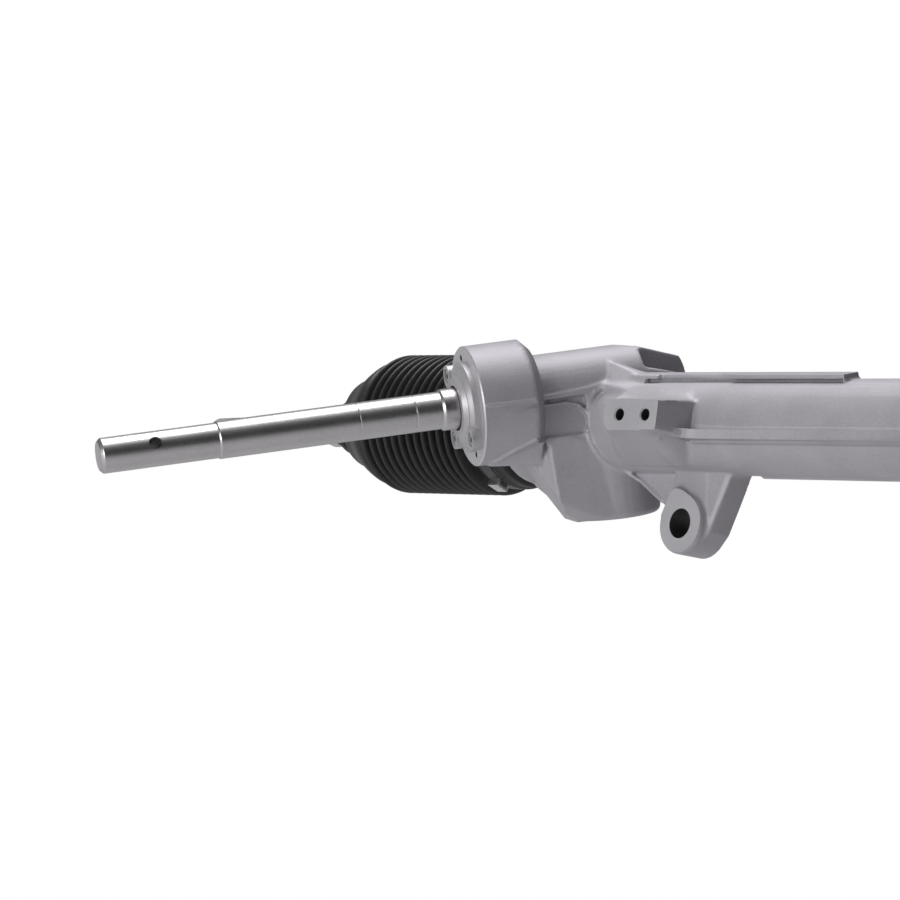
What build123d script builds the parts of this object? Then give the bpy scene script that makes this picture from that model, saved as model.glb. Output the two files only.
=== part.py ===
from build123d import *
from math import asin, atan, cos, degrees, pi, radians, sin, sqrt, tan
import os

# Manual rack and pinion steering gear of a car: an aluminium housing with a toothed rack bar sliding in
# it, a helical pinion with a long input shaft, a spring-loaded yoke behind the rack, and at each end an
# inner ball joint with a tie rod under a rubber bellows boot. Millimetres throughout.
#
# Everything is modelled in the rack's own axes: X runs along the rack bar, Z points from the rack
# towards the pinion, and the origin is where the pinion axis passes over the rack axis. At the end
# every piece is turned about X and moved, so that the left mounting bore becomes the origin with its
# bolt along Y and the gear hangs as it does in the car.

# Gear mesh
normal_module = 2.0
pinion_teeth = 8
pressure_angle = 20.0
helix_angle = 25.0
profile_shift = 0.4
flank_backlash = 0.06
centre_distance = 17.0
pinion_face_width = 24.0
tip_shortening = 0.23

# Rack bar
rack_radius = 13.0
rack_left_end = -103.0
rack_right_end = 501.0
travel_left = 100.0
travel_right = 40.0
rack_end_thread_radius = 7.0
rack_end_thread_length = 22.0
rack_bush_outer = 17.0
rack_bush_length = 16.0
rack_bush_inset = 22.0

# Housing
housing_left_end = -62.0
housing_right_end = 400.0
tube_radius = 21.2
rack_bore_radius = 15.0
boot_seat_radius = 26.0
boot_seat_length = 17.5
boot_seat_lip_width = 3.0
boot_seat_groove = 1.0
boot_seat_collar_height = 1.0
boot_seat_collar_width = 3.0
boot_seat_taper = 10.0
pinion_barrel_radius = 19.0
pinion_barrel_end = -41.5
barrel_dome_length = 20.0
bore_wall = 1.6
barrel_flat_x = 15.5
barrel_flat_floor = 27.0
barrel_top = 36.5
tower_radius = 27.0
tower_start = 33.6
tower_chamfer = 3.5
web_reach = 41.0
web_half_width = 10.0
web_front_height = -8.0
tower_end = 62.4
yoke_boss_radius = 21.0
yoke_boss_depth = 40.5
yoke_boss_top = 14.0
yoke_boss_top_radius = 24.0
yoke_boss_rounding = 10.0
heel_half_width = 9.0

# Mounting lugs
mount_tilt = 17.5
left_lug_x = 66.0
right_lug_x = 344.0
lug_drop = 44.0
lug_depth = 16.0
lug_radius = 13.5
mount_bore_radius = 6.65
lug_face_top = -27.6
lug_neck_setback = 3.0
lug_web_thickness = 3.5
lug_rim_width = 12.0
lug_rim_bottom = -57.0
lug_rim_reach = 29.0
rib_root = -12.0
gusset_front = -1.0
gusset_back = 7.0

# Accessory pad on the front of the tube
pad_left_x = 47.0
pad_right_x = 80.0
pad_reach = 42.0
pad_top = 5.3
pad_bottom = -7.7
pad_corner = 4.5
fairing_front_width = 27.0
fairing_root_y = -10.0
fairing_root_x = 49.0
fairing_root_z = -1.0
fairing_root_width = 62.0
fairing_root_height = 37.0
fairing_root_corner = 15.0
pad_hole_radius = 2.7
pad_hole_depth = 12.0
pad_hole_spacing = 16.5
pad_hole_left_x = 55.8

# Ribs of the tube
fin_reach = 26.0
fin_root = 15.0
fin_top = -5.0
fin_thickness = 4.0
rib_foot = 12.0
saddle_peak = 30.8
saddle_width = 26.0
saddle_end = 40.0
top_rib_width = 6.0
top_rib_height = 23.3
top_rib_end = 161.0
bottom_rib_start = 102.0
bottom_rib_end = 199.0
bottom_rib_width = 5.0
bottom_rib_height = 1.2

# Pinion shaft, along its own axis from the crossing point towards the steering column
lower_journal_radius = 5.5
lower_journal_end = -21.0
lower_bush_outer = 7.5
lower_bush_length = 7.0
bearing_seat_radius = 10.0
bearing_start = 46.0
bearing_width = 7.0
bearing_outer_radius = 16.0
bearing_ball_radius = 1.9
bearing_ball_count = 12
shaft_collar_radius = 12.2
seal_journal_radius = 9.3
seal_journal_end = 75.0
input_shaft_radius = 8.4
input_end_radius = 7.9
scribed_rings = [88.0, 114.0]
input_step = 177.5
input_end = 231.5
cross_hole_radius = 2.85
cross_hole_position = 206.8
cross_hole_turn = 26.0

# Cover over the pinion tower
cover_thickness = 2.4
cover_plate_radius = 20.2
cover_ear_radius = 5.2
cover_ear_thickness = 4.6
cover_dish_height = 3.6
cover_spigot_length = 2.0
seal_outer_radius = 12.4
seal_length = 6.6
cover_screw_circle = 20.0
cover_screw_radius = 2.0
cover_screw_depth = 6.0
cover_screw_recess = 1.6
cover_screw_angles = [48.0, 228.0, 318.0]
dowel_circle = 21.9
dowel_radius = 1.4
dowel_angles = [14.0, 188.0]

# Yoke
yoke_radius = 14.0
yoke_length = 17.0
yoke_liner_thickness = 1.2
yoke_ring_section = 1.05
yoke_plug_gap = 2.0
yoke_plug_radius = 16.0
yoke_plug_length = 7.0
yoke_spring_pocket = 8.0
yoke_spring_wire = 2.4
yoke_spring_radius = 7.0
yoke_spring_turns = 2.5

# Inner ball joints and tie rods
ball_radius = 12.0
ball_offset = 28.0
socket_radius = 16.0
socket_length = 36.5
seat_thickness = 1.5
socket_mouth_radius = 10.8
tie_rod_radius = 7.0
tie_rod_neck_radius = 6.2
tie_rod_length = 155.0
tie_rod_droop = 1.8
tie_rod_thread_length = 52.0

# Boots
boot_ridge_radius = 32.5
boot_valley_radius = 25.6
boot_ridges = 13
folds_start = 4.5
boot_wall = 1.2
boot_cuff_length = 16.5
boot_cuff_thickness = 2.6
boot_cone_length = 38.0
cone_end_on_rod = 45.0
cone_end_radius = 11.8
small_cuff_start = 52.0
small_cuff_length = 12.0
small_cuff_radius = 8.6
clamp_width = 6.5
clamp_thickness = 0.8
large_clamp_turn = 36.0

# Fits
running_clearance = 0.03
static_clearance = 0.05

# Values worked out from the sizes above
helix = radians(helix_angle)
transverse_angle = atan(tan(radians(pressure_angle)) / cos(helix))
pitch_radius = normal_module * pinion_teeth / (2 * cos(helix))
base_radius = pitch_radius * cos(transverse_angle)
tip_radius = pitch_radius + normal_module * (1 + profile_shift) - tip_shortening
root_radius = pitch_radius - normal_module * (1.25 - profile_shift)
rack_pitch = pi * normal_module
rack_pitch_line = centre_distance - pitch_radius - normal_module * profile_shift
rack_tip = rack_pitch_line + normal_module
rack_root = rack_pitch_line - 1.25 * normal_module
pinion_bore_radius = tip_radius + 1
pinion_bore_end = -pinion_face_width / 2 - 2.4
lower_bush_floor = lower_journal_end - 1
bearing_end = bearing_start + bearing_width
cover_face = tower_end + cover_thickness
ear_face = tower_end + cover_ear_thickness
hub_face = cover_face + cover_dish_height
seal_pocket_start = tower_end - 3.0
yoke_start = 0.6 * rack_radius
yoke_back = yoke_start + yoke_length
yoke_plug_start = yoke_back + yoke_plug_gap

pinion_direction = Vector(-sin(helix), -cos(helix), 0)
pinion_place = Plane(origin=(0, 0, centre_distance), x_dir=(0, 0, -1), z_dir=pinion_direction).location
yoke_place = Plane(origin=(0, 0, 0), x_dir=(1, 0, 0), z_dir=(0, 0, -1)).location
mount_turn = Location((0, 0, 0), (-mount_tilt, 0, 0))


def turned(*profile):
    """A solid turned about Z from (radius, height) points."""
    points = [Vector(radius, 0, height) for radius, height in profile]
    return revolve(make_face(Polyline(*points, close=True)), Axis.Z)


def ring(outer, inner, start, end):
    return turned((inner, start), (outer, start), (outer, end), (inner, end))


def rod(radius, start, end):
    return turned((0, start), (radius, start), (radius, end), (0, end))


def along_rack(piece, x=0.0, direction=1):
    """Moves a piece turned about Z onto the rack axis, pointing to +X or -X."""
    return Plane(origin=(x, 0, 0), x_dir=(0, 0, 1), z_dir=(direction, 0, 0)).location * piece


def along_pinion(piece):
    return pinion_place * piece


def along_yoke(piece):
    return yoke_place * piece


def side_plate(outline, front, back):
    """A plate in mount axes: its outline in X and Z, its thickness along Y from front to back."""
    face = make_face(Polyline(*[Vector(x, front, z) for x, z in outline], close=True))
    return extrude(face, amount=back - front, dir=(0, 1, 0))


def from_mount_axes(piece):
    return mount_turn * piece


# Gear mesh

def involute_angle(radius):
    """Polar angle by which the involute has unwound at this radius."""
    roll = sqrt((radius / base_radius) ** 2 - 1)
    return roll - atan(roll)


def tooth_flank(side, samples=6):
    """Points of one flank, from the base circle to the tip, round a tooth centred on local X."""
    shift_gain = 2 * profile_shift * tan(radians(pressure_angle))
    half_tooth = (pi / 2 + shift_gain) * normal_module / (2 * cos(helix) * pitch_radius)
    points = []
    for step in range(samples):
        radius = base_radius + (tip_radius - base_radius) * (step / (samples - 1)) ** 1.5
        angle = half_tooth + involute_angle(pitch_radius) - involute_angle(max(radius, base_radius))
        points.append(Vector(radius * cos(angle), side * radius * sin(angle), 0))
    return points


def tooth_outline():
    """Closed outline of one tooth, from inside the root circle out to the tip."""
    left = tooth_flank(1)
    right = tooth_flank(-1)
    inner = 0.9 * root_radius / base_radius
    foot_left = left[0] * inner
    foot_right = right[0] * inner
    tip = ThreePointArc(left[-1], Vector(tip_radius, 0, 0), right[-1])
    edges = [Spline(*left), tip, Spline(*right), Line(right[0], foot_right), Line(foot_right, foot_left),
             Line(foot_left, left[0])]
    return make_face(edges)


def pinion_gear():
    """Helical teeth, twisted over the face width, with one tooth pointing at the rack at mid width."""
    twist = degrees(pinion_face_width * tan(helix) / pitch_radius)
    section = Circle(root_radius).face()
    for tooth in range(pinion_teeth):
        section += Rot(Z=360 * tooth / pinion_teeth) * tooth_outline()
    outline = section.faces()[0].outer_wire()
    gear = Solid.extrude_linear_with_rotation(outline, (0, 0, 0), (0, 0, pinion_face_width), twist)
    return Pos(0, 0, -pinion_face_width / 2) * Rot(Z=-twist / 2) * gear


def pinion_shaft():
    half_face = pinion_face_width / 2
    scribe = 0.2
    shaft = turned((0, lower_journal_end), (lower_journal_radius - 0.8, lower_journal_end),
                   (lower_journal_radius, lower_journal_end + 0.8), (lower_journal_radius, -half_face - 2),
                   (root_radius, -half_face), (root_radius, half_face), (root_radius + 1, half_face + 2),
                   (root_radius + 1, bearing_start - 3), (shaft_collar_radius, bearing_start - 3),
                   (shaft_collar_radius, bearing_start), (bearing_seat_radius, bearing_start),
                   (bearing_seat_radius, bearing_end + 3.4), (seal_journal_radius, bearing_end + 4),
                   (seal_journal_radius, seal_journal_end), (input_shaft_radius, seal_journal_end + 1),
                   (input_shaft_radius, input_step), (input_end_radius, input_step + 0.5),
                   (input_end_radius, input_end - 1.5), (input_end_radius - 1.5, input_end), (0, input_end))
    groove = ring(shaft_collar_radius, bearing_seat_radius - 0.7, bearing_end + 0.05, bearing_end + 1.6)
    for height in scribed_rings:
        groove += ring(input_shaft_radius + 1, input_shaft_radius - scribe, height - scribe, height + scribe)
    hole = Cylinder(cross_hole_radius, 4 * input_shaft_radius, rotation=(90, 0, 0))
    hole = Rot(Z=cross_hole_turn) * Pos(0, 0, cross_hole_position) * hole
    return shaft + pinion_gear() - groove - hole


def rack_tooth_gaps():
    """One sheet-like cutter: everything above the tooth outline over the toothed length."""
    reach = tip_radius + pinion_face_width / 2 * sin(helix)
    first = -int((travel_right + reach) / rack_pitch + 1)
    last = int((travel_left + reach) / rack_pitch + 1)
    slope = tan(radians(pressure_angle))
    half_gap = rack_pitch / 4 + flank_backlash
    top_half = half_gap + (rack_tip - rack_pitch_line) * slope
    root_half = half_gap - (rack_pitch_line - rack_root) * slope
    above = rack_radius + 1
    points = [(first * rack_pitch - top_half - 1, above), (first * rack_pitch - top_half - 1, rack_tip)]
    for index in range(first, last + 1):
        middle = index * rack_pitch
        points += [(middle - top_half, rack_tip), (middle - root_half, rack_root)]
        points += [(middle + root_half, rack_root), (middle + top_half, rack_tip)]
    points += [(last * rack_pitch + top_half + 1, rack_tip), (last * rack_pitch + top_half + 1, above)]
    face = make_face(Polyline(*[Vector(x, -rack_radius - 1, z) for x, z in points], close=True))
    return extrude(face, amount=2 * rack_radius + 2, dir=(0, 1, 0))


def rack_bar():
    length = rack_right_end - rack_left_end
    socket_bore = rod(rack_end_thread_radius + static_clearance, -1, rack_end_thread_length + 2)
    bar = turned((0, 0), (rack_radius - 1.5, 0), (rack_radius, 1.5), (rack_radius, length - 1.5),
                 (rack_radius - 1.5, length), (0, length))
    bar = along_rack(bar, rack_left_end) - rack_tooth_gaps()
    return bar - along_rack(socket_bore, rack_left_end) - along_rack(socket_bore, rack_right_end, -1)


# Housing

def boot_seat(x, direction):
    """The turned end that the large cuff of a boot is clamped on, with a retaining lip."""
    groove = boot_seat_radius - boot_seat_groove
    collar = boot_seat_radius + boot_seat_collar_height
    collar_start = boot_seat_length + 1
    collar_end = collar_start + boot_seat_collar_width
    root = collar_end + boot_seat_taper
    seat = turned((0, 0), (boot_seat_radius, 0), (boot_seat_radius, boot_seat_lip_width),
                  (groove, boot_seat_lip_width + 1), (groove, boot_seat_length), (collar, collar_start),
                  (collar, collar_end), (tube_radius, root), (0, root))
    return along_rack(seat, x, direction)


def pinion_barrel():
    """Barrel round the pinion: domed end, flat upper far side, and a full wall left round the bores."""
    barrel = rod(pinion_barrel_radius, pinion_barrel_end + barrel_dome_length, tower_start + 3)
    dome = Sphere(pinion_barrel_radius)
    dome = scale(dome, (1, 1, barrel_dome_length / pinion_barrel_radius))
    barrel += Pos(0, 0, pinion_barrel_end + barrel_dome_length) * dome
    core = rod(pinion_bore_radius + bore_wall, pinion_bore_end - bore_wall, tower_start)
    core += rod(lower_bush_outer + bore_wall, lower_bush_floor - bore_wall, 0)
    return along_pinion(barrel) - barrel_flat() + along_pinion(core)


def barrel_flat():
    """Cut that leaves the upright flat wall and the shoulder beside it."""
    reach = 40.0
    cut = Box(reach, 1.5 * reach, reach)
    cut = Pos(barrel_flat_x + reach / 2, reach / 2, barrel_flat_floor + reach / 2) * cut
    cap = Pos(0, reach / 2, barrel_top + reach / 2) * Box(2 * reach, 2 * reach, reach)
    return from_mount_axes(cut) + from_mount_axes(cap)


def tower():
    """Wide head of the pinion barrel that holds the upper bearing."""
    head = rod(tower_radius, tower_start, tower_end)
    head = chamfer(head.edges().group_by(Axis.Z)[0], tower_chamfer)
    return along_pinion(head)


def yoke_boss():
    """Yoke boss with casting draft, carried up past the rack so that it runs out under the barrel."""
    boss = turned((0, -yoke_boss_top), (yoke_boss_top_radius, -yoke_boss_top),
                  (yoke_boss_radius, yoke_boss_depth), (0, yoke_boss_depth))
    boss = fillet(boss.edges().group_by(Axis.Z)[0], yoke_boss_rounding)
    boss = fillet(boss.edges().group_by(Axis.Z)[-1], 3)
    return along_yoke(boss)


def tower_web():
    """Cast wall that runs from under the tower down to the yoke boss."""
    outline = [(0, -yoke_boss_depth), (yoke_boss_radius - 0.5, -yoke_boss_depth),
               (web_reach, web_front_height), (web_reach, centre_distance), (0, centre_distance)]
    points = [pinion_direction * along + Vector(0, 0, height) for along, height in outline]
    face = make_face(Polyline(*points, close=True))
    return extrude(face, amount=web_half_width, both=True)


def tower_wedge():
    """Faceted wedge cast under the tower, which grows towards the rack."""
    wedge_top = centre_distance - 10

    def section(along, fold, fold_height, corner, bottom):
        outline = [(wedge_top, 0), (fold_height, fold), (bottom, corner), (bottom, -corner),
                   (fold_height, -fold)]
        points = [Vector(centre_distance - height, across, along) for height, across in outline]
        return make_face(Polyline(*points, close=True))
    near = section(tower_end - 5, fold=17, fold_height=-3.8, corner=8, bottom=-10.3)
    far = section(tower_start + 1, fold=21.5, fold_height=1, corner=13, bottom=-12.2)
    return along_pinion(loft([near, far], ruled=True))


def heel():
    """Cast wedge between the left boot seat and the yoke boss."""
    start = housing_left_end + boot_seat_length + 2
    collar = boot_seat_radius + boot_seat_collar_height
    outline = [(start, -collar), (-yoke_boss_radius + 2, -yoke_boss_depth), (0, -yoke_boss_depth),
               (0, 0), (start, 0)]
    face = make_face(Polyline(*[Vector(x, 0, z) for x, z in outline], close=True))
    return extrude(face, amount=heel_half_width, both=True)


def nose():
    """Front nose that carries the accessory pad, with the cast fairing that blends it into the tube."""
    root = 8.0
    depth = pad_reach - root
    height = pad_top - pad_bottom
    middle_z = (pad_top + pad_bottom) / 2
    block = Pos((pad_left_x + pad_right_x) / 2, -root - depth / 2, middle_z)
    block = block * Box(pad_right_x - pad_left_x, depth, height)
    block = fillet(block.edges().filter_by(Axis.Y).group_by(Axis.X)[0], pad_corner)
    near = Plane(origin=(0, -pad_reach, 0), x_dir=(1, 0, 0), z_dir=(0, -1, 0))
    far = Plane(origin=(0, fairing_root_y, 0), x_dir=(1, 0, 0), z_dir=(0, -1, 0))
    front = RectangleRounded(fairing_front_width, height, pad_corner)
    front = near * Pos(pad_left_x + fairing_front_width / 2, middle_z) * front
    back = RectangleRounded(fairing_root_width, fairing_root_height, fairing_root_corner)
    back = far * Pos(fairing_root_x, fairing_root_z) * back
    fairing = loft([front.face(), back.face()])
    return from_mount_axes(block + fairing)


def lug(x, direction):
    """Mounting lug in mount axes: a bored boss, a web up to the tube and a rim along its far side."""
    def at(offset, z):
        return (x + direction * offset, z)
    front = -lug_depth / 2
    back = lug_depth / 2
    boss_turn = Location((x, front, -lug_drop), (-90, 0, 0))
    boss = rod(lug_radius, 0, lug_depth)
    boss = boss_turn * fillet(boss.edges().group_by(Axis.Z)[0], 1.5)
    face = side_plate([at(-lug_radius + 0.6, -lug_drop + 3), at(-8.5, lug_face_top - 2),
                       at(-7.4, lug_face_top - 0.6), at(-5, lug_face_top), at(-2.5, lug_face_top - 0.8),
                       at(5, lug_face_top - 4.4), at(lug_radius - 0.6, -lug_drop + 3)], front, back)
    neck = side_plate([at(-lug_radius, -lug_drop), at(lug_radius - 1, -lug_drop + 5), at(9, rib_root - 3),
                       at(-9, rib_root - 3)], front + lug_neck_setback, back)
    shoulder = at(lug_rim_reach - 3, rib_root - 7)
    outer_root = at(lug_rim_reach, rib_root)
    web = side_plate([at(-lug_radius, -lug_drop), at(0, -lug_drop - 8), at(4, -lug_drop - 12),
                      at(lug_radius, -lug_drop - 4), shoulder, outer_root, at(-lug_radius, rib_root)],
                     back - lug_web_thickness, back)
    rim = side_plate([at(2, lug_rim_bottom), at(10, lug_rim_bottom + 3.7), at(15, lug_rim_bottom + 10),
                      shoulder, outer_root, at(lug_rim_reach - 6, rib_root), at(10.5, -lug_drop)],
                     back - lug_rim_width, back)
    return from_mount_axes(boss + face + neck + web + rim)


def lug_to_boss_web():
    """Gusset between the yoke boss, the tube and the left lug."""
    lug_side = left_lug_x - lug_radius
    outline = [(14, rib_root), (19.8, -20), (44.7, -34.2), (lug_side, -38.6), (lug_side + 4, -lug_drop),
               (left_lug_x, -30), (left_lug_x, rib_root)]
    return from_mount_axes(side_plate(outline, gusset_front, gusset_back))


def from_front(outline, width):
    """A plate along the rack, centred on its axis, from an outline in X and Z."""
    face = make_face(Polyline(*[Vector(x, -width / 2, z) for x, z in outline], close=True))
    return extrude(face, amount=width, dir=(0, 1, 0))


def saddle():
    """Hollow-backed gusset on top of the tube, which grows into the barrel."""
    flank = Spline(Vector(saddle_peak, 0, -8), Vector(saddle_peak - 4, 0, 6),
                   Vector(tube_radius + 3.4, 0, 16), Vector(tube_radius - 0.4, 0, saddle_end))
    base = Polyline(flank @ 1, Vector(0, 0, saddle_end), Vector(0, 0, -8), flank @ 0)
    gusset = along_rack(revolve(make_face(flank + base), Axis.Z))
    return gusset & Pos(15, 0, 24) * Box(60, saddle_width, 32)


def tube_ribs():
    """Front fin, and the low ribs along the top and the bottom of the tube."""
    fin_end = housing_right_end - 60
    fin_plan = [(pad_right_x - 1, fin_reach + 6), (pad_right_x, fin_reach + 6),
                (pad_right_x + 3, fin_reach + 2), (pad_right_x + 9, fin_reach), (fin_end, fin_reach),
                (fin_end, fin_root), (pad_right_x - 1, fin_root)]
    fin = make_face(Polyline(*[Vector(x, -y, fin_top - fin_thickness) for x, y in fin_plan], close=True))
    fin = extrude(fin, amount=fin_thickness, dir=(0, 0, 1))
    ridge = [(-4, 26), (14, 24.7), (27.5, top_rib_height), (top_rib_end - 4, top_rib_height),
             (top_rib_end, 20), (top_rib_end, rib_foot), (-4, rib_foot)]
    top = saddle() + from_front(ridge, top_rib_width)
    bottom_length = bottom_rib_end - bottom_rib_start
    bottom = Box(bottom_length, bottom_rib_width, 4)
    bottom = Pos(bottom_rib_start + bottom_length / 2, 0, 2 - tube_radius - bottom_rib_height) * bottom
    return from_mount_axes(fin) + top + bottom


def housing_bores():
    """All machined bores of the housing, joined into one cutter."""
    length = housing_right_end - housing_left_end
    rack_bore = along_rack(rod(rack_bore_radius, -1, length + 1), housing_left_end)
    bush_bore = along_rack(rod(rack_bush_outer + running_clearance, -1, rack_bush_inset + 1),
                           housing_right_end - rack_bush_inset)
    pinion_bore = rod(pinion_bore_radius, pinion_bore_end, bearing_start)
    bearing_bore = rod(bearing_outer_radius + running_clearance, bearing_start - 2, tower_end + 1)
    ring_groove = rod(bearing_outer_radius + 1.3, bearing_end + 0.3, bearing_end + 2.1)
    lower_bore = rod(lower_bush_outer + running_clearance, lower_bush_floor, 0)
    pinion_cut = along_pinion(pinion_bore + bearing_bore + ring_groove + lower_bore)
    yoke_bore = rod(yoke_radius + running_clearance, 0, yoke_boss_depth)
    plug_bore = rod(yoke_plug_radius + static_clearance, yoke_plug_start, yoke_boss_depth + 1)
    return rack_bore + bush_bore + pinion_cut + along_yoke(yoke_bore + plug_bore)


def cover_screw_holes(radius, start, end):
    hole = rod(radius, start, end)
    holes = [(Rot(Z=angle) * Pos(cover_screw_circle, 0, 0) * hole).solid() for angle in cover_screw_angles]
    return along_pinion(Compound(holes))


def dowel_holes():
    """Two blind holes in the tower's end face, beside the cover."""
    hole = rod(dowel_radius, tower_end - 5, tower_end + 1)
    holes = [(Rot(Z=angle) * Pos(dowel_circle, 0, 0) * hole).solid() for angle in dowel_angles]
    return along_pinion(Compound(holes))


def pad_holes():
    holes = []
    for step in range(2):
        place = Location((pad_hole_left_x + step * pad_hole_spacing, -pad_reach, (pad_top + pad_bottom) / 2),
                         (-90, 0, 0))
        holes.append((place * rod(pad_hole_radius, -1, pad_hole_depth)).solid())
    return from_mount_axes(Compound(holes))


def lug_bore(x):
    bore = Location((x, -lug_depth, -lug_drop), (-90, 0, 0)) * rod(mount_bore_radius, 0, 2 * lug_depth)
    return from_mount_axes(bore)


def housing():
    tube = along_rack(rod(tube_radius, 10, housing_right_end - housing_left_end - 10), housing_left_end)
    body = tube + boot_seat(housing_left_end, 1) + boot_seat(housing_right_end, -1)
    body += pinion_barrel()
    body += tower()
    body += yoke_boss()
    body += tower_web()
    body += tower_wedge()
    body += heel()
    body += nose()
    body += lug(left_lug_x, 1)
    body += lug(right_lug_x, -1)
    body += lug_to_boss_web()
    body += tube_ribs()
    body -= housing_bores()
    body -= cover_screw_holes(cover_screw_radius + static_clearance, tower_end - cover_screw_depth - 0.5,
                              tower_end + 1)
    body -= dowel_holes()
    body -= pad_holes()
    body -= lug_bore(left_lug_x)
    body -= lug_bore(right_lug_x)
    return body


# Bearings, seals and covers

def upper_bearing():
    """Deep-groove ball bearing: outer ring, balls and inner ring."""
    middle = (bearing_start + bearing_end) / 2
    ball_circle = (bearing_outer_radius + bearing_seat_radius) / 2
    shoulder = 0.55 * bearing_ball_radius
    groove = Pos(0, 0, middle) * Torus(ball_circle, bearing_ball_radius + running_clearance)
    seat = bearing_seat_radius + static_clearance
    outer = ring(bearing_outer_radius, ball_circle + shoulder, bearing_start, bearing_end) - groove
    inner = ring(ball_circle - shoulder, seat, bearing_start, bearing_end) - groove
    balls = []
    for index in range(bearing_ball_count):
        place = Rot(Z=360 * index / bearing_ball_count) * Pos(ball_circle, 0, middle)
        balls.append((place * Sphere(bearing_ball_radius)).solid())
    return along_pinion(outer), along_pinion(inner), along_pinion(Compound(balls))


def lower_bush():
    start = lower_bush_floor + 0.6
    bush = ring(lower_bush_outer, lower_journal_radius + running_clearance, start, start + lower_bush_length)
    return along_pinion(bush)


def housing_snap_ring():
    start = bearing_end + 0.35
    full = ring(bearing_outer_radius + 1.2, bearing_outer_radius - 2.6, start, start + 1.6)
    gap = Pos(bearing_outer_radius, 0, start) * Box(8, 9, 8)
    return along_pinion(full - gap)


def shaft_circlip():
    start = bearing_end + 0.1
    full = ring(bearing_seat_radius + 2, bearing_seat_radius - 0.6, start, start + 1.4)
    gap = Pos(-bearing_seat_radius, 0, start) * Box(8, 5, 8)
    return along_pinion(full - gap)


def cover_ears(height):
    """The three screw ears of the cover, standing on the tower's end face."""
    inset = 0.6
    ear = rod(cover_ear_radius, tower_end, tower_end + height)
    ears = [Rot(Z=angle) * Pos(cover_screw_circle - inset, 0, 0) * ear for angle in cover_screw_angles]
    return ears[0] + ears[1] + ears[2]


def pinion_cover():
    """Cast cover with three ears, whose raised middle holds the shaft seal."""
    spigot = bearing_outer_radius - 0.2
    step = cover_face + 1.6
    plate = turned((0, tower_end - cover_spigot_length), (spigot, tower_end - cover_spigot_length),
                   (spigot, tower_end), (cover_plate_radius, tower_end), (cover_plate_radius, cover_face),
                   (cover_plate_radius - 1.8, cover_face), (cover_plate_radius - 3.4, step),
                   (cover_plate_radius - 5, step), (seal_outer_radius + 1, hub_face), (0, hub_face))
    plate += cover_ears(cover_ear_thickness)
    bore = rod(seal_journal_radius + 0.9, seal_pocket_start, hub_face + 1)
    pocket = rod(seal_outer_radius + running_clearance, seal_pocket_start, seal_pocket_start + seal_length)
    cover = along_pinion(plate - bore - pocket)
    recess = cover_screw_holes(cover_screw_radius * 1.6, ear_face - cover_screw_recess, ear_face + 4)
    holes = cover_screw_holes(cover_screw_radius + static_clearance, tower_end - 1, cover_face + 3)
    return cover - recess - holes


def pinion_seal():
    bottom = seal_pocket_start + 0.6
    top = seal_pocket_start + seal_length - 0.1
    outer = seal_outer_radius
    lip = seal_journal_radius + running_clearance
    seal = turned((outer, bottom), (outer, top), (lip + 0.6, top), (lip, top - 1.2),
                  (lip + 0.5, top - 2.2), (outer - 1.2, top - 2.2), (outer - 1.2, bottom + 1),
                  (lip + 0.5, bottom + 1), (lip + 0.5, bottom))
    return along_pinion(seal)


def cover_screws():
    seat = ear_face - cover_screw_recess
    screw = rod(cover_screw_radius, tower_end - cover_screw_depth, seat)
    screw += rod(cover_screw_radius * 1.5, seat, ear_face - 0.4)
    socket = extrude(Pos(0, 0, seat + 0.3) * RegularPolygon(cover_screw_radius * 0.7, 6), 3)
    screw -= socket
    screws = [(Rot(Z=angle) * Pos(cover_screw_circle, 0, 0) * screw).solid() for angle in cover_screw_angles]
    return along_pinion(Compound(screws))


# Yoke

def yoke():
    hollow = rod(yoke_spring_radius + yoke_spring_wire, yoke_back - yoke_spring_pocket, yoke_back + 1)
    groove = ring(yoke_radius + 1, yoke_radius - 2.2, yoke_back - 6.5, yoke_back - 4)
    body = along_yoke(rod(yoke_radius, 0, yoke_back) - hollow - groove)
    channel_radius = rack_radius + running_clearance + yoke_liner_thickness + static_clearance
    channel = along_rack(rod(channel_radius, -30, 30))
    above = Pos(0, 0, -yoke_start / 2 + 20) * Box(60, 60, 40)
    return body - channel - above


def yoke_liner():
    """Thin plastic saddle between the yoke and the rack bar."""
    inner = rack_radius + running_clearance
    shell = along_rack(ring(inner + yoke_liner_thickness, inner, -yoke_radius, yoke_radius))
    keep = along_yoke(rod(yoke_radius - 0.6, yoke_start + 0.4, yoke_back))
    return shell & keep


def yoke_o_ring():
    section = yoke_ring_section
    return along_yoke(Pos(0, 0, yoke_back - 5.25) * Torus(yoke_radius - section - 0.05, section))


def yoke_spring():
    """Coil spring between the yoke and its plug."""
    end_gap = 0.1
    free = yoke_plug_gap + yoke_spring_pocket - yoke_spring_wire - 2 * end_gap
    pitch = free / yoke_spring_turns
    path = Helix(pitch, free, yoke_spring_radius)
    section = Plane(origin=path @ 0, z_dir=path % 0) * Circle(yoke_spring_wire / 2)
    coil = sweep(section, path)
    bottom = yoke_back - yoke_spring_pocket + yoke_spring_wire / 2 + end_gap
    return along_yoke(Pos(0, 0, bottom) * coil)


def yoke_plug():
    end = yoke_plug_start + yoke_plug_length
    plug = rod(yoke_plug_radius, yoke_plug_start, end)
    hexagon = extrude(Pos(0, 0, end - 4.5) * RegularPolygon(8, 6), 5)
    return along_yoke(plug - hexagon)


def yoke_lock_ring():
    start = yoke_plug_start + yoke_plug_length
    return along_yoke(ring(yoke_plug_radius, yoke_plug_radius - 4.5, start, start + 3))


# Rack ends

def rack_bush():
    bush = ring(rack_bush_outer, rack_radius + running_clearance, 0, rack_bush_length)
    return along_rack(bush, housing_right_end - rack_bush_inset)


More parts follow.
